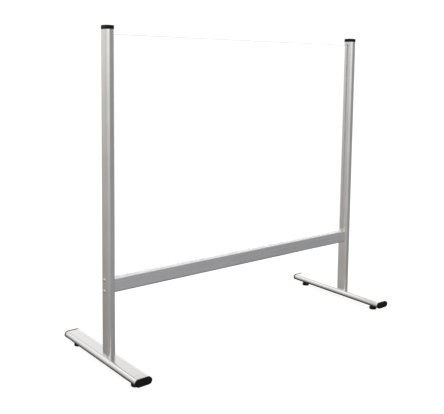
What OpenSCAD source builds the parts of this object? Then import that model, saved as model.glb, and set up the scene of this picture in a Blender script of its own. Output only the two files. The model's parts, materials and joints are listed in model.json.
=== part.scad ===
// Counter-top screen: a clear panel held between two uprights on long feet.
// Millimetres. X runs along the width, Y from front to back and Z up.
// The counter is at Z = 0 and the origin is under the middle of the feet.

/* [Whole screen] */
// Width over the outer faces of the uprights
screen_w = 1000; // [600:10:1600]
// Height from the counter to the top of the upright caps
screen_h = 950; // [700:10:1300]
// How far the uprights stand in front of the middle of the feet
upright_forward = 22; // [0:1:60]

/* [Uprights] */
// Width of the upright tube, along X
upright_w = 26; // [24:1:30]
// Depth of the upright tube, along Y
upright_d = 39; // [36:1:42]
// Radius of the upright's four long corners
upright_r = 10; // [4:0.5:11]
// Wall of the upright tube
upright_wall = 1.8; // [1.5:0.1:2.2]
// Height of the black cap above the end of the tube
top_cap_h = 12; // [6:1:14]

/* [Cross rail] */
// Height of the rail's section
rail_h = 40; // [38:1:60]
// Depth of the rail's section
rail_d = 30; // [24:1:32]
// Height of the middle of the rail above the counter
rail_z = 236; // [120:1:350]
// Radius of the rail's four long corners
rail_r = 4; // [3:0.5:6]
// Wall of the rail tube
rail_wall = 2; // [1.5:0.1:2.5]
// Spacing of the two bolts in each end of the rail
bolt_gap = 32; // [16:1:32]

/* [Clear panel] */
// Thickness of the panel
panel_t = 4; // [4:0.5:5]
// Gap from the top of the upright tube down to the top of the panel
panel_drop = 12; // [8:1:30]
// Depth of the slot that holds each upright edge of the panel
slot_depth = 10; // [9:0.5:11]
// Wall of the gasket between the panel and its slot
gasket_wall = 1; // [0.8:0.1:1.1]
// Height of the clear strip round the bottom edge of the panel
strip_h = 4; // [3:0.5:10]

/* [Feet] */
// Length of each foot over its end caps
foot_l = 420; // [300:10:600]
// Width of the foot, along X
foot_w = 50; // [46:1:70]
// Thickness of the foot
foot_t = 20; // [18:1:24]
// Height of the underside of the foot above the counter
foot_z = 15; // [15:0.5:20]
// Wall of the foot tube
foot_wall = 2; // [1.6:0.1:2.4]
// Length of each black end cap outside the foot tube
end_cap_l = 8; // [6:1:12]

/* [Levellers] */
// Radius of the leveller pad on the counter
pad_r = 12.5; // [10:0.5:15]
// Height of the leveller pad
pad_h = 10; // [8:0.5:10]
// Distance of each leveller from the end of the foot
leveller_inset = 45; // [30:1:80]

/* [Hidden] */
$fn = 64;
eps = 0.01;

silver = [0.72, 0.71, 0.70];
black = [0.05, 0.05, 0.05];
steel = [0.60, 0.60, 0.60];
clear = [0.80, 0.90, 0.95, 0.35];

// Uprights
upright_x = screen_w / 2 - upright_w / 2;
inner_x = screen_w / 2 - upright_w;
foot_top = foot_z + foot_t;
tube_top = screen_h - top_cap_h;
web_t = 1.4;
slot_half = panel_t / 2 + gasket_wall;
web_y = slot_half + web_t / 2;
port_y = (slot_half + web_t + upright_d / 2 - upright_wall) / 2;
port_bore_r = 3.05;
port_r = 4.4;
cap_grow = 0.3;
cap_dome_r = 120;
cap_peg_l = 14;

// Rail and its bolts
rail_top = rail_z + rail_h / 2;
rail_port_r = 3.9;
bolt_r = 2.5;
bolt_l = upright_w + 16;
bolt_head_r = 4.75;
bolt_head_h = 2.8;
bolt_key = 3;
bolt_clear_r = 2.75;

// Panel
panel_top = tube_top - panel_drop;
strip_base = 1.5;
panel_bottom = rail_top + strip_base;
panel_grip = slot_depth - gasket_wall - 1;
panel_fit = 0.05;
lip_out = 0.6;
lip_wide = 0.7;
strip_wall = 1.5;
slot_top = panel_top + 3.5;

// Feet
tube_l = foot_l - 2 * end_cap_l;
foot_web_x = 10;
foot_web_t = 1.6;
plug_l = 14;
plug_gap = 0.2;
foot_bolt_r = 3;
foot_bolt_clear_r = 3.3;
foot_bolt_up = 22;
washer_t = 1.6;
washer_r = 8;
foot_head_r = 5.25;
foot_head_h = 3.3;
foot_key = 4;

// Levellers
leveller_y = foot_l / 2 - leveller_inset;
stud_r = 4;
run_gap = 0.05;
stud_base = 2.5;
collar_h = 3.5;
collar_flats = 13;
stud_top = foot_z + 17;
insert_r = 5.5;
insert_flange_r = 7.5;
insert_flange_t = 1;
insert_l = 12;

// Rectangle with rounded corners, centred
module round_rect(w, d, r) {
    square([w - 2 * r, d], center = true);
    square([w, d - 2 * r], center = true);
    for (x = [-1, 1])
        for (y = [-1, 1])
            translate([x * (w / 2 - r), y * (d / 2 - r)])
                circle(r = r);
}

// Flat oval with fully round sides, centred
module flat_oval(w, t) {
    square([w - t, t], center = true);
    for (x = [-1, 1])
        translate([x * (w - t) / 2, 0])
            circle(r = t / 2);
}

// Hexagonal prism measured across its flats
module hex_prism(flats, h) {
    cylinder(r = flats / 2 / cos(30), h = h, $fn = 6);
}

// Button head standing on Z = 0, with a hexagonal key socket in its crown
module button_head(r, h, key) {
    rim = 0.8;
    crown = h - rim;
    dome_r = (r * r + crown * crown) / (2 * crown);
    difference() {
        intersection() {
            cylinder(r = r, h = h);
            translate([0, 0, h - dome_r])
                sphere(r = dome_r);
        }
        translate([0, 0, h * 0.45])
            hex_prism(key, h);
    }
}

// The next modules draw the left-hand pieces; the right-hand ones are their mirror image
module on_right() {
    mirror([1, 0, 0])
        children();
}

// Upright: section with a middle chamber for the panel and two screw ports
module upright_section() {
    difference() {
        round_rect(upright_w, upright_d, upright_r);
        difference() {
            round_rect(
                upright_w - 2 * upright_wall,
                upright_d - 2 * upright_wall,
                upright_r - upright_wall
            );
            for (s = [-1, 1])
                translate([0, s * web_y])
                    square([upright_w, web_t], center = true);
            translate([upright_w / 2 - slot_depth - web_t / 2, 0])
                square([web_t, 2 * web_y], center = true);
            for (s = [-1, 1]) {
                translate([0, s * port_y])
                    circle(r = port_r);
                translate([0, s * (upright_d / 2 + web_y) / 2])
                    square([2, upright_d / 2 - web_y], center = true);
            }
        }
        for (s = [-1, 1])
            translate([0, s * port_y])
                circle(r = port_bore_r);
    }
}

// Slot milled through the inner wall, from behind the rail to a round end above the panel
module panel_slot() {
    reach = upright_wall + 2;
    start = rail_top - 1;
    translate([upright_w / 2 - upright_wall - 1, 0, 0]) {
        translate([0, -slot_half, start])
            cube([reach, 2 * slot_half, slot_top - slot_half - start]);
        translate([0, 0, slot_top - slot_half])
            rotate([0, 90, 0])
                cylinder(r = slot_half, h = reach);
    }
}

module left_upright_body() {
    color(silver)
        translate([-upright_x, -upright_forward, 0])
            difference() {
                translate([0, 0, foot_top])
                    linear_extrude(height = tube_top - foot_top)
                        upright_section();
                panel_slot();
                for (s = [-1, 1])
                    translate([-upright_w, 0, rail_z + s * bolt_gap / 2])
                        rotate([0, 90, 0])
                            cylinder(r = bolt_clear_r, h = 2 * upright_w);
            }
}

// Domed cap with two pegs that push into the screw ports
module left_top_cap_body() {
    color(black)
        translate([-upright_x, -upright_forward, tube_top]) {
            intersection() {
                linear_extrude(height = top_cap_h)
                    round_rect(
                        upright_w + 2 * cap_grow,
                        upright_d + 2 * cap_grow,
                        upright_r + cap_grow
                    );
                translate([0, 0, top_cap_h - cap_dome_r])
                    sphere(r = cap_dome_r, $fn = 256);
            }
            for (s = [-1, 1])
                translate([0, s * port_y, -cap_peg_l])
                    cylinder(r = port_bore_r - run_gap, h = cap_peg_l + 1);
        }
}

// Rail section: round-cornered box with two screw ports
module rail_section() {
    difference() {
        union() {
            difference() {
                round_rect(rail_d, rail_h, rail_r);
                round_rect(
                    rail_d - 2 * rail_wall,
                    rail_h - 2 * rail_wall,
                    rail_r - rail_wall
                );
            }
            for (s = [-1, 1])
                translate([0, s * bolt_gap / 2])
                    circle(r = rail_port_r);
        }
        for (s = [-1, 1])
            translate([0, s * bolt_gap / 2])
                circle(r = bolt_r + run_gap);
    }
}

// Rail with both ends coped to the rounded faces of the uprights
module rail_body() {
    color(silver)
        difference() {
            translate([-upright_x, -upright_forward, rail_z])
                rotate([90, 0, 90])
                    linear_extrude(height = 2 * upright_x)
                        rail_section();
            for (s = [-1, 1])
                translate([s * upright_x, -upright_forward, foot_top])
                    linear_extrude(height = tube_top - foot_top)
                        round_rect(upright_w, upright_d, upright_r);
        }
}

// Two button-head bolts through the upright into the rail's screw ports
module left_rail_bolt_pair() {
    color(steel)
        for (s = [-1, 1])
            translate([-screen_w / 2, -upright_forward, rail_z + s * bolt_gap / 2])
                rotate([0, -90, 0]) {
                    button_head(bolt_head_r, bolt_head_h, bolt_key);
                    translate([0, 0, -bolt_l])
                        cylinder(r = bolt_r, h = bolt_l + eps);
                }
}

module panel_body() {
    color(clear)
        translate([-inner_x - panel_grip, -upright_forward - panel_t / 2, panel_bottom])
            cube([2 * (inner_x + panel_grip), panel_t, panel_top - panel_bottom]);
}

// U-shaped gasket that lines the slot and laps its edges
module left_gasket_body() {
    inside = panel_t / 2 + panel_fit;
    outside = slot_half - panel_fit;
    color(black)
        translate([-inner_x, -upright_forward, rail_top + 0.2])
            linear_extrude(height = panel_top - rail_top - 0.2)
                difference() {
                    union() {
                        translate([-slot_depth + panel_fit, -outside])
                            square([slot_depth, 2 * outside]);
                        translate([0, -slot_half - lip_wide])
                            square([lip_out, 2 * (slot_half + lip_wide)]);
                    }
                    translate([-slot_depth + gasket_wall, -inside])
                        square([2 * slot_depth, 2 * inside]);
                }
}

// Clear U-shaped strip on which the bottom edge of the panel rests
module strip_body() {
    half = inner_x - lip_out - 0.2;
    color(clear)
        translate([-half, -upright_forward, rail_top])
            rotate([90, 0, 90])
                linear_extrude(height = 2 * half)
                    difference() {
                        translate([-panel_t / 2 - strip_wall, 0])
                            square([panel_t + 2 * strip_wall, strip_h]);
                        translate([-panel_t / 2 - panel_fit, strip_base])
                            square([panel_t + 2 * panel_fit, strip_h]);
                    }
}

// Foot: flat-oval tube with two inner webs
module foot_section() {
    difference() {
        flat_oval(foot_w, foot_t);
        difference() {
            flat_oval(foot_w - 2 * foot_wall, foot_t - 2 * foot_wall);
            for (s = [-1, 1])
                translate([s * foot_web_x, 0])
                    square([foot_web_t, foot_t], center = true);
        }
    }
}

module left_foot_body() {
    color(silver)
        translate([-upright_x, 0, foot_z + foot_t / 2])
            difference() {
                rotate([90, 0, 0])
                    linear_extrude(height = tube_l, center = true)
                        foot_section();
                for (s = [-1, 1]) {
                    translate([0, -upright_forward + s * port_y, -foot_t])
                        cylinder(r = foot_bolt_clear_r, h = 2 * foot_t);
                    translate([0, s * leveller_y, -foot_t])
                        cylinder(r = insert_r + run_gap, h = foot_t);
                }
            }
}

// End cap: stepped flat-oval head, with lobes that fill the three chambers of the foot
module rear_cap() {
    step = 2.5;
    rotate([-90, 0, 0]) {
        linear_extrude(height = end_cap_l - step)
            flat_oval(foot_w + 0.6, foot_t + 0.6);
        linear_extrude(height = end_cap_l)
            flat_oval(foot_w - 4, foot_t - 4);
        translate([0, 0, -plug_l])
            linear_extrude(height = plug_l + eps)
                difference() {
                    flat_oval(
                        foot_w - 2 * foot_wall - 2 * plug_gap,
                        foot_t - 2 * foot_wall - 2 * plug_gap
                    );
                    flat_oval(foot_w - 2 * foot_wall - 4, foot_t - 2 * foot_wall - 4);
                    for (s = [-1, 1])
                        translate([s * foot_web_x, 0])
                            square([foot_web_t + 2 * plug_gap, foot_t], center = true);
                }
    }
}

module left_rear_cap_body() {
    color(black)
        translate([-upright_x, tube_l / 2, foot_z + foot_t / 2])
            rear_cap();
}

module left_front_cap_body() {
    color(black)
        translate([-upright_x, -tube_l / 2, foot_z + foot_t / 2])
            mirror([0, 1, 0])
                rear_cap();
}

// Two bolts up through the foot into the upright's screw ports
module left_foot_bolt_pair() {
    color(steel)
        for (s = [-1, 1])
            translate([-upright_x, -upright_forward + s * port_y, foot_z - washer_t]) {
                mirror([0, 0, 1])
                    button_head(foot_head_r, foot_head_h, foot_key);
                translate([0, 0, -eps])
                    cylinder(r = foot_bolt_r, h = washer_t + foot_t + foot_bolt_up + eps);
            }
}

module left_foot_washer_pair() {
    color(steel)
        for (s = [-1, 1])
            translate([-upright_x, -upright_forward + s * port_y, foot_z - washer_t])
                difference() {
                    cylinder(r = washer_r, h = washer_t);
                    translate([0, 0, -1])
                        cylinder(r = foot_bolt_r + 0.2, h = washer_t + 2);
                }
}

// Threaded inserts in the underside of the foot
module left_insert_pair() {
    color(steel)
        for (s = [-1, 1])
            translate([-upright_x, s * leveller_y, foot_z])
                difference() {
                    union() {
                        cylinder(r = insert_r, h = insert_l);
                        translate([0, 0, -insert_flange_t])
                            cylinder(r = insert_flange_r, h = insert_flange_t);
                    }
                    translate([0, 0, -2 * insert_flange_t])
                        cylinder(r = stud_r + run_gap, h = 2 * insert_l);
                }
}

// Leveller pad: moulded foot with a blind socket for the stud
module pad_at(side, end) {
    rim_h = 5.5;
    color(black)
        translate([side * upright_x, end * leveller_y, 0])
            rotate_extrude()
                polygon([
                    [0, 0],
                    [pad_r - 0.8, 0],
                    [pad_r, 0.8],
                    [pad_r, rim_h],
                    [pad_r - 2.5, pad_h - 1],
                    [pad_r - 3.5, pad_h],
                    [stud_r + run_gap, pad_h],
                    [stud_r + run_gap, stud_base],
                    [0, stud_base]
                ]);
}

// Leveller stud: plain shank for the thread, with a hexagonal collar that sits on the pad
module stud_at(side, end) {
    color(steel)
        translate([side * upright_x, end * leveller_y, 0]) {
            rotate_extrude()
                polygon([
                    [0, stud_base],
                    [stud_r, stud_base],
                    [stud_r, stud_top - 1],
                    [stud_r - 1, stud_top],
                    [0, stud_top]
                ]);
            translate([0, 0, pad_h])
                hex_prism(collar_flats, collar_h);
        }
}

module left_upright() { left_upright_body(); }
module right_upright() { on_right() left_upright_body(); }
module left_top_cap() { left_top_cap_body(); }
module right_top_cap() { on_right() left_top_cap_body(); }
module cross_rail() { rail_body(); }
module left_rail_bolts() { left_rail_bolt_pair(); }
module right_rail_bolts() { on_right() left_rail_bolt_pair(); }
module clear_panel() { panel_body(); }
module left_panel_gasket() { left_gasket_body(); }
module right_panel_gasket() { on_right() left_gasket_body(); }
module panel_edge_strip() { strip_body(); }
module left_foot() { left_foot_body(); }
module right_foot() { on_right() left_foot_body(); }
module left_foot_front_cap() { left_front_cap_body(); }
module left_foot_rear_cap() { left_rear_cap_body(); }
module right_foot_front_cap() { on_right() left_front_cap_body(); }
module right_foot_rear_cap() { on_right() left_rear_cap_body(); }
module left_foot_bolts() { left_foot_bolt_pair(); }
module right_foot_bolts() { on_right() left_foot_bolt_pair(); }
module left_foot_washers() { left_foot_washer_pair(); }
module right_foot_washers() { on_right() left_foot_washer_pair(); }
module left_leveller_inserts() { left_insert_pair(); }
module right_leveller_inserts() { on_right() left_insert_pair(); }
module left_front_leveller_pad() { pad_at(-1, -1); }
module left_front_leveller_stud() { stud_at(-1, -1); }
module left_rear_leveller_pad() { pad_at(-1, 1); }
module left_rear_leveller_stud() { stud_at(-1, 1); }
module right_front_leveller_pad() { pad_at(1, -1); }
module right_front_leveller_stud() { stud_at(1, -1); }
module right_rear_leveller_pad() { pad_at(1, 1); }
module right_rear_leveller_stud() { stud_at(1, 1); }

left_upright();
right_upright();
left_top_cap();
right_top_cap();
cross_rail();
left_rail_bolts();
right_rail_bolts();
clear_panel();
left_panel_gasket();
right_panel_gasket();
panel_edge_strip();
left_foot();
right_foot();
left_foot_front_cap();
left_foot_rear_cap();
right_foot_front_cap();
right_foot_rear_cap();
left_foot_bolts();
right_foot_bolts();
left_foot_washers();
right_foot_washers();
left_leveller_inserts();
right_leveller_inserts();
left_front_leveller_pad();
left_front_leveller_stud();
left_rear_leveller_pad();
left_rear_leveller_stud();
right_front_leveller_pad();
right_front_leveller_stud();
right_rear_leveller_pad();
right_rear_leveller_stud();
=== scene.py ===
"""A free-standing counter screen: silver uprights on long feet, a cross rail and a clear panel.

It stands on a pale studio floor. Lengths are metres. X runs along the width, Y from front to back and
Z up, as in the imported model.
"""
import json
import math

import bmesh
import bpy
from mathutils import Matrix, Vector


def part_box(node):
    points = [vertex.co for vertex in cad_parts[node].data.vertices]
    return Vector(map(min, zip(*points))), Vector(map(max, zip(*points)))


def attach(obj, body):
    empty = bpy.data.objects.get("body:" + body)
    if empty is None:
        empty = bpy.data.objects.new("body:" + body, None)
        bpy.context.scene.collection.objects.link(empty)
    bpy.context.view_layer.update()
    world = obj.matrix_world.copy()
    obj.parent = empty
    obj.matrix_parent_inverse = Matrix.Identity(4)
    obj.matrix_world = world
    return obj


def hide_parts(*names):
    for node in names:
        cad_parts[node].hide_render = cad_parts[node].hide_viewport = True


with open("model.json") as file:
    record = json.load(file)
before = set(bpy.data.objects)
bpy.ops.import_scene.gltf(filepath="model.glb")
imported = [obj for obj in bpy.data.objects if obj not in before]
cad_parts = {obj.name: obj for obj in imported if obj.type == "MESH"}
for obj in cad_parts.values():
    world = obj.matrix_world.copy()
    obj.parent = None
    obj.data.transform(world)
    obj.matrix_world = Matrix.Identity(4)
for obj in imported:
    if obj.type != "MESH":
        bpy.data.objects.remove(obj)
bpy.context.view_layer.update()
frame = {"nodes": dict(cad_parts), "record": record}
NODES = frame["nodes"]

MM = 0.001
SIDES = ("left", "right")
ENDS = ("front", "rear")
WHITE = 1.12    # strength of the backdrop and of the floor's glow: just enough to read as white


def middle(node):
    """Middle of a CAD node's box."""
    low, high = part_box(node)
    return (low + high) / 2


# ---------------------------------------------------------------- materials

def new_material(name):
    """A node material with nothing but its output and its Principled shader, ready for its inputs."""
    mat = bpy.data.materials.new(name)
    mat.use_nodes = True
    tree = mat.node_tree
    tree.nodes.clear()
    out = tree.nodes.new("ShaderNodeOutputMaterial")
    shader = tree.nodes.new("ShaderNodeBsdfPrincipled")
    tree.links.new(shader.outputs["BSDF"], out.inputs["Surface"])
    return mat, tree, shader


class Graph:
    """Short calls for building a node tree."""

    def __init__(self, tree):
        self.tree = tree
        self.coords = tree.nodes.new("ShaderNodeTexCoord").outputs["Object"]

    def node(self, kind, **settings):
        """A new node with its settings."""
        n = self.tree.nodes.new(kind)
        for key, value in settings.items():
            setattr(n, key, value)
        return n

    def link(self, source, target):
        self.tree.links.new(source, target)

    def noise(self, scale, stretch=(1, 1, 1), detail=3.0, rough=0.55):
        """Noise over the object's own coordinates. A larger stretch makes finer cells along that axis."""
        mapping = self.node("ShaderNodeMapping")
        mapping.inputs["Scale"].default_value = stretch
        self.link(self.coords, mapping.inputs["Vector"])
        n = self.node("ShaderNodeTexNoise")
        n.inputs["Scale"].default_value = scale
        n.inputs["Detail"].default_value = detail
        n.inputs["Roughness"].default_value = rough
        self.link(mapping.outputs["Vector"], n.inputs["Vector"])
        return n.outputs["Fac"]

    def ramp(self, source, low, high, a=0.0, b=1.0):
        """source mapped from low..high to a..b, held at the ends."""
        n = self.node("ShaderNodeMapRange")
        n.inputs["From Min"].default_value = low
        n.inputs["From Max"].default_value = high
        n.inputs["To Min"].default_value = a
        n.inputs["To Max"].default_value = b
        self.link(source, n.inputs["Value"])
        return n.outputs["Result"]

    def math(self, kind, a, b):
        """Two numbers or sockets through a maths node. A function of one value ignores b."""
        n = self.node("ShaderNodeMath", operation=kind)
        for socket, value in zip(n.inputs, (a, b)):
            if isinstance(value, (int, float)):
                socket.default_value = value
            else:
                self.link(value, socket)
        return n.outputs["Value"]

    def mix(self, factor, a, b, blend="MIX"):
        """Two colours mixed by factor; each is a colour or a socket."""
        n = self.node("ShaderNodeMix", data_type="RGBA", blend_type=blend)
        if isinstance(factor, (int, float)):
            n.inputs[0].default_value = factor
        else:
            self.link(factor, n.inputs[0])
        for socket, value in ((n.inputs[6], a), (n.inputs[7], b)):
            if isinstance(value, tuple):
                socket.default_value = (*value, 1.0)
            else:
                self.link(value, socket)
        return n.outputs[2]

    def bump(self, height, distance, strength, under=None):
        """A normal raised by height, on top of the normal under."""
        n = self.node("ShaderNodeBump")
        n.inputs["Strength"].default_value = strength
        n.inputs["Distance"].default_value = distance
        self.link(height, n.inputs["Height"])
        if under is not None:
            self.link(under, n.inputs["Normal"])
        return n.outputs["Normal"]

    def edge(self, radius):
        """1 near a hard edge and 0 on open faces, from how far a bevelled normal leans from the real one."""
        bevel = self.node("ShaderNodeBevel", samples=4)
        bevel.inputs["Radius"].default_value = radius
        geometry = self.node("ShaderNodeNewGeometry")
        dot = self.node("ShaderNodeVectorMath", operation="DOT_PRODUCT")
        self.link(bevel.outputs["Normal"], dot.inputs[0])
        self.link(geometry.outputs["Normal"], dot.inputs[1])
        lean = self.math("SUBTRACT", 1.0, dot.outputs["Value"])
        return self.ramp(lean, 0.02, 0.35)


def anodised(name, axis, tint, satin):
    """Satin anodised extrusion: fine die lines along axis, a matt etched grain and paler worn edges."""
    mat, tree, shader = new_material(name)
    g = Graph(tree)
    lines = g.noise(1.0, tuple(3.0 if i == axis else 900.0 for i in range(3)), detail=2.0, rough=0.6)
    bands = g.noise(1.0, tuple(1.2 if i == axis else 160.0 for i in range(3)), detail=2.0)
    cloud = g.noise(7.0, detail=3.0)
    grain = g.noise(2600.0, detail=2.0)
    pale = tuple(min(1.0, c * 1.07) for c in tint)
    dark = tuple(c * 0.94 for c in tint)
    colour = g.mix(g.ramp(cloud, 0.3, 0.7), dark, pale)
    colour = g.mix(g.ramp(bands, 0.3, 0.7, 0.0, 0.35), colour, pale)
    colour = g.mix(g.ramp(lines, 0.35, 0.7, 0.0, 0.22), colour, dark)
    colour = g.mix(g.math("MULTIPLY", g.edge(0.7 * MM), 0.5), colour, (0.88, 0.875, 0.87))
    g.link(colour, shader.inputs["Base Color"])
    shader.inputs["Metallic"].default_value = 1.0
    rough = g.ramp(lines, 0.3, 0.7, satin, satin + 0.05)
    rough = g.math("ADD", rough, g.ramp(grain, 0.3, 0.7, -0.02, 0.03))
    g.link(rough, shader.inputs["Roughness"])
    normal = g.bump(lines, 0.02 * MM, 0.35)
    normal = g.bump(grain, 0.006 * MM, 0.5, under=normal)
    g.link(normal, shader.inputs["Normal"])
    return mat


def moulded_black(name):
    """Black moulded plastic: fine spark-eroded grain, faint dust and greyer rubbed edges."""
    tint = (0.003, 0.003, 0.0033)
    mat, tree, shader = new_material(name)
    g = Graph(tree)
    grain = g.noise(1500.0, detail=3.0, rough=0.6)
    cloud = g.noise(28.0, detail=4.0)
    dust = g.noise(420.0, detail=5.0, rough=0.7)
    colour = g.mix(g.ramp(cloud, 0.3, 0.7), tint, tuple(c * 1.7 for c in tint))
    colour = g.mix(g.ramp(dust, 0.58, 0.75, 0.0, 0.2), colour, (0.016, 0.016, 0.016))
    colour = g.mix(g.math("MULTIPLY", g.edge(0.6 * MM), 0.35), colour, (0.03, 0.03, 0.031))
    g.link(colour, shader.inputs["Base Color"])
    rough = g.ramp(grain, 0.3, 0.7, 0.45, 0.58)
    rough = g.math("ADD", rough, g.ramp(cloud, 0.3, 0.7, -0.03, 0.05))
    g.link(rough, shader.inputs["Roughness"])
    shader.inputs["Specular IOR Level"].default_value = 0.12
    g.link(g.bump(grain, 0.03 * MM, 0.6), shader.inputs["Normal"])
    return mat


def zinc_steel(name):
    """Bright zinc plate: faint yellow and blue clouds, fine turning marks and a soft shine."""
    mat, tree, shader = new_material(name)
    g = Graph(tree)
    cloud = g.noise(90.0, detail=3.0)
    marks = g.noise(1.0, (300.0, 300.0, 2400.0), detail=2.0)
    colour = g.mix(g.ramp(cloud, 0.35, 0.65), (0.66, 0.65, 0.60), (0.62, 0.64, 0.67))
    colour = g.mix(g.math("MULTIPLY", g.edge(0.35 * MM), 0.6), colour, (0.82, 0.82, 0.80))
    g.link(colour, shader.inputs["Base Color"])
    shader.inputs["Metallic"].default_value = 1.0
    g.link(g.ramp(marks, 0.3, 0.7, 0.13, 0.22), shader.inputs["Roughness"])
    g.link(g.bump(marks, 0.01 * MM, 0.4), shader.inputs["Normal"])
    return mat


def clear_acrylic(name):
    """Clear cast sheet: polished faces with the faintest wiping marks, and duller sawn edges.

    The sawn edges are the faces that don't look along Y. They keep the sheet's own grey green edge tint, but
    their
    brightness is painted by height: painted shade makes them dark near the top, and they are painted pale near
    the bottom.
    """
    mat, tree, shader = new_material(name)
    g = Graph(tree)
    wipe = g.noise(1.0, (9.0, 9.0, 40.0), detail=5.0, rough=0.65)
    saw = g.noise(1.0, (900.0, 60.0, 900.0), detail=2.0)
    facing = g.node("ShaderNodeSeparateXYZ")
    g.link(g.node("ShaderNodeNewGeometry").outputs["True Normal"], facing.inputs["Vector"])
    cut = g.ramp(g.math("ABSOLUTE", facing.outputs["Y"], 0.0), 0.985, 0.93)
    place = g.node("ShaderNodeSeparateXYZ")
    g.link(g.coords, place.inputs["Vector"])
    # painted shade by height: the sawn edges are dark grey green near the top and painted pale near the bottom
    sawn = g.mix(g.ramp(place.outputs["Z"], 0.3, 0.5), (0.85, 0.87, 0.87), (0.17, 0.20, 0.195))
    colour = g.mix(cut, (0.985, 0.993, 0.99), sawn)
    g.link(colour, shader.inputs["Base Color"])
    g.link(g.ramp(cut, 0.0, 1.0, 1.0, 0.3), shader.inputs["Transmission Weight"])
    shader.inputs["IOR"].default_value = 1.49
    sawn_rough = g.math("MULTIPLY", cut, g.ramp(saw, 0.3, 0.7, 0.2, 0.4))
    rough = g.math("ADD", g.ramp(wipe, 0.45, 0.8, 0.0, 0.02), sawn_rough)
    g.link(rough, shader.inputs["Roughness"])
    g.link(g.bump(g.math("MULTIPLY", cut, saw), 0.02 * MM, 0.4), shader.inputs["Normal"])
    return mat


def clear_vinyl(name):
    """Thin flexible clear edging: see-through, a little milky, with soft lines along it."""
    mat, tree, shader = new_material(name)
    g = Graph(tree)
    cloud = g.noise(60.0, detail=3.0)
    lines = g.noise(1.0, (14.0, 900.0, 900.0), detail=2.0)
    colour = g.mix(g.ramp(cloud, 0.3, 0.7), (0.84, 0.86, 0.86), (0.93, 0.94, 0.94))
    g.link(colour, shader.inputs["Base Color"])
    milky = g.math("ADD", g.ramp(lines, 0.3, 0.7, 0.08, 0.15), g.math("MULTIPLY", g.edge(0.4 * MM), 0.15))
    g.link(milky, shader.inputs["Alpha"])
    shader.inputs["IOR"].default_value = 1.46
    g.link(g.ramp(cloud, 0.3, 0.7, 0.12, 0.22), shader.inputs["Roughness"])
    g.link(g.bump(lines, 0.02 * MM, 0.4), shader.inputs["Normal"])
    return mat


def gasket_rubber(name):
    """Soft grey glazing gasket, with fine lines along it and a little dust."""
    mat, tree, shader = new_material(name)
    g = Graph(tree)
    lines = g.noise(1.0, (1400.0, 1400.0, 12.0), detail=2.0)
    dust = g.noise(500.0, detail=5.0, rough=0.7)
    colour = g.mix(g.ramp(lines, 0.3, 0.7), (0.30, 0.30, 0.30), (0.37, 0.37, 0.365))
    colour = g.mix(g.ramp(dust, 0.55, 0.8, 0.0, 0.4), colour, (0.45, 0.45, 0.44))
    g.link(colour, shader.inputs["Base Color"])
    g.link(g.ramp(dust, 0.3, 0.7, 0.55, 0.75), shader.inputs["Roughness"])
    g.link(g.bump(lines, 0.02 * MM, 0.5), shader.inputs["Normal"])
    return mat


BLACK = moulded_black("black_moulding")
ZINC = zinc_steel("zinc_steel")
RUBBER = gasket_rubber("gasket_rubber")

# end of a node's name, its material, and the radius of its worn or moulded edges in millimetres. The
# extrusions keep the crisp edges of their cut ends.
LOOKS = (
    # The three anodised copies are one finish in three tints: painted light makes the rail paler and the feet
    # darker than the uprights.
    ("_upright", anodised("anodised_along_z", 2, (0.74, 0.73, 0.72), 0.17), 0.0),
    ("cross_rail", anodised("anodised_along_x", 0, (0.81, 0.805, 0.805), 0.22), 0.0),
    ("_foot", anodised("anodised_along_y", 1, (0.66, 0.656, 0.652), 0.20), 0.0),
    ("clear_panel", clear_acrylic("clear_acrylic"), 1.0),
    ("panel_edge_strip", clear_vinyl("clear_vinyl"), 0.15),
    ("_gasket", RUBBER, 0.15),
    ("_cap", BLACK, 0.6),
    ("_pad", BLACK, 0.5),
    ("_bolts", ZINC, 0.25),
    ("_washers", ZINC, 0.25),
    ("_inserts", ZINC, 0.25),
    ("_stud", ZINC, 0.0),
)


def dress(obj, mat, radius):
    """Gives obj one material and rounds its sharp edges."""
    obj.data.materials.clear()
    obj.data.materials.append(mat)
    for face in obj.data.polygons:
        face.material_index = 0
    if radius:
        joined = obj.modifiers.new("joined_faces", "WELD")
        joined.merge_threshold = 0.001 * MM
        mod = obj.modifiers.new("rounded_edges", "BEVEL")
        mod.harden_normals = True
        mod.width = radius
        mod.segments = 3
        mod.limit_method = "ANGLE"
        mod.angle_limit = math.radians(40)


for node, obj in NODES.items():
    material, radius = next((look, round_mm * MM) for ending, look, round_mm in LOOKS if node.endswith(ending))
    dress(obj, material, radius)
for node in ("clear_panel", "panel_edge_strip"):
    NODES[node].visible_shadow = False
    NODES[node].visible_diffuse = False


# ---------------------------------------------------------------- threaded studs

STUD_R = 4.0 * MM
PITCH = 1.25 * MM
THREAD_DEPTH = 0.72 * MM
CREST, FLANK, ROOT = 0.125, 0.3125, 0.25    # shares of one pitch, with two flanks
STEPS_AROUND = 32
STEPS_PER_PITCH = 8
COLLAR_LOW = 10.0 * MM
COLLAR_TOP = 13.5 * MM
COLLAR_FLATS = 13.0 * MM
COLLAR_CHAMFER = 0.35 * MM
TIP = 1.0 * MM


def body_of(node):
    """The body a CAD node belongs to."""
    return next(body for body, members in frame["record"]["behaviour"]["bodies"].items() if node in members)


def thread_radius(height, angle):
    """Radius of a right-hand metric thread: flat crest, sloping flanks and a wider flat root."""
    phase = (height / PITCH - angle / math.tau) % 1.0
    if phase < CREST:
        depth = 0.0
    elif phase < CREST + FLANK:
        depth = (phase - CREST) / FLANK
    elif phase < CREST + FLANK + ROOT:
        depth = 1.0
    else:
        depth = (1.0 - phase) / FLANK
    return STUD_R - THREAD_DEPTH * depth


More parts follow.
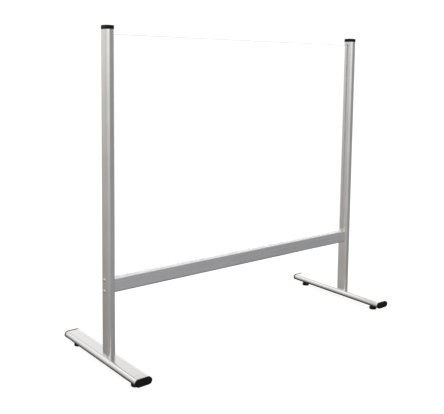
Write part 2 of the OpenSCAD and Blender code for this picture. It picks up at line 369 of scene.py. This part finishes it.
def add_stud(node):
    """Leveller stud with a cut thread, a chamfered tip and a chamfered hexagonal collar."""
    low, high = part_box(node)
    mid = (low + high) / 2
    rows = [(low.z, False), (COLLAR_TOP, False)]
    count = round((high.z - COLLAR_TOP) / (PITCH / STEPS_PER_PITCH))
    rows += [(COLLAR_TOP + (high.z - COLLAR_TOP) * i / count, True) for i in range(1, count + 1)]
    bm = bmesh.new()
    rings = []
    for height, cut in rows:
        ring = []
        for i in range(STEPS_AROUND):
            angle = math.tau * i / STEPS_AROUND
            radius = thread_radius(height, angle) if cut else STUD_R
            radius = min(radius, STUD_R - TIP + (high.z - height))
            across = (mid.x + radius * math.cos(angle), mid.y + radius * math.sin(angle))
            ring.append(bm.verts.new((*across, height)))
        rings.append(ring)
    for lower, upper in zip(rings, rings[1:]):
        for i in range(STEPS_AROUND):
            j = (i + 1) % STEPS_AROUND
            face = bm.faces.new((lower[i], lower[j], upper[j], upper[i]))
            face.smooth = True
    bm.faces.new(list(reversed(rings[0])))
    bm.faces.new(rings[-1])
    corner = COLLAR_FLATS / 2 / math.cos(math.pi / 6)
    collar = []
    for height in (COLLAR_LOW, COLLAR_TOP):
        collar.append([
            bm.verts.new((
                mid.x + corner * math.cos(math.tau * i / 6),
                mid.y + corner * math.sin(math.tau * i / 6),
                height,
            )) for i in range(6)
        ])
    lower, upper = collar
    sides = [bm.faces.new((lower[i], lower[(i + 1) % 6], upper[(i + 1) % 6], upper[i])) for i in range(6)]
    ends = [bm.faces.new(list(reversed(lower))), bm.faces.new(upper)]
    edges = dict.fromkeys(edge for face in sides + ends for edge in face.edges)
    bmesh.ops.bevel(bm, geom=list(edges), offset=COLLAR_CHAMFER, segments=2, affect="EDGES")
    mesh = bpy.data.meshes.new(node + "_thread")
    bm.to_mesh(mesh)
    bm.free()
    mesh.materials.append(ZINC)
    piece = bpy.data.objects.new(node + "_thread", mesh)
    bpy.context.scene.collection.objects.link(piece)
    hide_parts(node)
    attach(piece, body_of(node))


for side in SIDES:
    for end in ENDS:
        add_stud(side + "_" + end + "_leveller_stud")


# ---------------------------------------------------------------- stage, light and camera

def seen_directly(g):
    """1 for what is seen straight or through the clear panel, 0 for what is mirrored or lights a surface."""
    path = g.node("ShaderNodeLightPath")
    bounces = g.math("ADD", path.outputs["Glossy Depth"], path.outputs["Diffuse Depth"])
    return g.math("LESS_THAN", bounces, 0.5)


def make_floor():
    """A white floor that glows a little. The metal mirrors the studio below it instead."""
    mesh = bpy.data.meshes.new("floor")
    half = 30.0
    corners = [(-half, -half, 0), (half, -half, 0), (half, half, 0), (-half, half, 0)]
    mesh.from_pydata(corners, [], [(0, 1, 2, 3)])
    obj = bpy.data.objects.new("floor", mesh)
    bpy.context.scene.collection.objects.link(obj)
    mat = bpy.data.materials.new("pale_floor")
    mat.use_nodes = True
    tree = mat.node_tree
    tree.nodes.clear()
    g = Graph(tree)
    cloud = g.ramp(g.noise(3.0, detail=3.0), 0.3, 0.7)
    pale = g.node("ShaderNodeBsdfDiffuse")
    g.link(g.mix(cloud, (0.91, 0.91, 0.91), (0.93, 0.93, 0.93)), pale.inputs["Color"])
    glow = g.node("ShaderNodeEmission")
    glow.inputs["Strength"].default_value = WHITE
    lit = g.node("ShaderNodeMixShader")
    g.link(g.math("MULTIPLY", seen_directly(g), 0.75), lit.inputs["Fac"])
    g.link(pale.outputs["BSDF"], lit.inputs[1])
    g.link(glow.outputs["Emission"], lit.inputs[2])
    both = g.node("ShaderNodeMixShader")
    path = g.node("ShaderNodeLightPath")
    mirrored = g.math("SUBTRACT", path.outputs["Glossy Depth"], path.outputs["Diffuse Depth"])
    g.link(g.math("GREATER_THAN", mirrored, 0.5), both.inputs["Fac"])
    g.link(lit.outputs["Shader"], both.inputs[1])
    g.link(g.node("ShaderNodeBsdfTransparent").outputs["BSDF"], both.inputs[2])
    out = g.node("ShaderNodeOutputMaterial")
    g.link(both.outputs["Shader"], out.inputs["Surface"])
    obj.data.materials.append(mat)


def stops(g, source, low, high, levels):
    """source read through a colour ramp: levels pairs each place from low to high with its brightness."""
    n = g.node("ShaderNodeValToRGB")
    for place, level in levels[1:-1]:
        n.color_ramp.elements.new((place - low) / (high - low))
    for element, (place, level) in zip(n.color_ramp.elements, levels):
        element.position = (place - low) / (high - low)
        element.color = (level, level, level, 1.0)
    g.link(g.ramp(source, low, high), n.inputs["Fac"])
    return n.outputs["Color"]


def near(g, turn, middle, full, none):
    """1 within full degrees of the direction middle, falling to 0 at none degrees from it."""
    away = g.math("ABSOLUTE", g.math("SUBTRACT", turn, middle), 0.0)
    return g.ramp(away, full, none, 1.0, 0.0)


def make_world():
    """White to the eye. What the metal mirrors is a dim room in front, soft lights round the sides, a paler
    ceiling with one bright strip, and a counter below that is dark behind the screen and at its right.

    Directions are degrees round Z from +X, and heights run from -1, straight down, to 1, straight up.
    """
    world = bpy.data.worlds.new("studio")
    bpy.context.scene.world = world
    world.use_nodes = True
    tree = world.node_tree
    tree.nodes.clear()
    g = Graph(tree)
    split = g.node("ShaderNodeSeparateXYZ")
    g.link(g.node("ShaderNodeTexCoord").outputs["Generated"], split.inputs["Vector"])
    turn = g.math("DEGREES", g.math("ARCTAN2", split.outputs["Y"], split.outputs["X"]), 0.0)
    height = split.outputs["Z"]
    sides = stops(g, turn, -180, 180, (
        (-180, 0.50), (-150, 0.66), (-118, 0.80), (-92, 0.72), (-76, 0.20),
        (-64, 0.0), (-48, 0.0), (-30, 0.12), (0, 0.30), (35, 0.92),
        (60, 0.72), (95, 0.56), (118, 0.54), (145, 0.40), (180, 0.50),
    ))
    fall = stops(g, height, -1, 1, (
        (-1, 0.0), (-0.4, 0.0), (-0.25, 0.12), (-0.13, 0.38), (0, 0.74),
        (0.07, 1.0), (0.17, 1.5), (0.32, 1.5), (0.41, 0.95), (1, 0.95),
    ))
    counter = stops(g, height, -1, 1, (
        (-1, 0.03), (-0.60, 0.04), (-0.46, 0.11), (-0.41, 0.32), (0.1, 0.32), (1, 0.32),
    ))
    counter = g.mix(near(g, turn, 38.0, 85.0, 105.0), (0.34, 0.34, 0.34), counter)
    cool, warm = (0.985, 0.995, 1.02), (1.04, 1.0, 0.96)
    tint = g.mix(near(g, turn, -55.0, 35.0, 80.0), warm, cool)
    colour = g.mix(1.0, g.mix(1.0, counter, tint, "MULTIPLY"), g.mix(1.0, sides, fall, "MULTIPLY"), "ADD")
    ceiling = (0.80, 0.80, 0.80)
    colour = g.mix(g.ramp(height, 0.40, 0.80), colour, ceiling)
    strip = g.math("MULTIPLY", near(g, turn, 112.0, 12.0, 30.0), g.ramp(height, 0.38, 0.52))
    colour = g.mix(strip, colour, (1.4, 1.4, 1.4))
    behind = g.math("MINIMUM", near(g, turn, 58.0, 36.0, 58.0), g.ramp(height, -0.44, -0.35, 1.0, 0.0))
    colour = g.mix(1.0, colour, g.ramp(behind, 0.0, 1.0, 1.0, 0.05), "MULTIPLY")
    light = g.node("ShaderNodeBackground")
    g.link(colour, light.inputs["Color"])
    white = g.node("ShaderNodeBackground")
    white.inputs["Color"].default_value = (1.0, 1.0, 1.0, 1.0)
    white.inputs["Strength"].default_value = WHITE
    both = g.node("ShaderNodeMixShader")
    g.link(seen_directly(g), both.inputs["Fac"])
    g.link(light.outputs["Background"], both.inputs[1])
    g.link(white.outputs["Background"], both.inputs[2])
    out = g.node("ShaderNodeOutputWorld")
    g.link(both.outputs["Shader"], out.inputs["Surface"])


def add_sun(name, toward, strength, angle):
    """A broad soft light that shines along toward; angle is its width in degrees."""
    data = bpy.data.lights.new(name, "SUN")
    data.energy = strength
    data.angle = math.radians(angle)
    obj = bpy.data.objects.new(name, data)
    bpy.context.scene.collection.objects.link(obj)
    obj.rotation_mode = "QUATERNION"
    obj.rotation_quaternion = Vector(toward).to_track_quat("-Z", "Y")


def make_camera():
    """The photograph's view: from the front left, a little below the tops of the uprights."""
    yaw, pitch, roll = 0.6733, 0.100, 0.0125
    focal_px, centre_y = 676.7, 137.5
    frame_w, frame_h = 444, 414
    stand = Vector((-1.3847, middle("left_upright").y - 1.622, 0.8345))
    ahead = Vector((math.sin(yaw) * math.cos(pitch), math.cos(yaw) * math.cos(pitch), -math.sin(pitch)))
    level = Vector((math.cos(yaw), -math.sin(yaw), 0))
    up = level.cross(ahead)
    right = level * math.cos(roll) + up * math.sin(roll)
    up = up * math.cos(roll) - level * math.sin(roll)
    data = bpy.data.cameras.new("camera")
    data.sensor_width = 36.0
    data.lens = focal_px * data.sensor_width / frame_w
    data.shift_y = (centre_y - frame_h / 2) / frame_w
    data.clip_end = 100.0
    obj = bpy.data.objects.new("camera", data)
    bpy.context.scene.collection.objects.link(obj)
    facing = Matrix((right, up, -ahead)).transposed()
    obj.matrix_world = Matrix.Translation(stand) @ facing.to_4x4()
    bpy.context.scene.camera = obj


make_floor()
make_world()
add_sun("overhead", (0.15, 0.1, -1.0), 1.4, 70)
make_camera()
bpy.context.scene.view_settings.view_transform = "Standard"
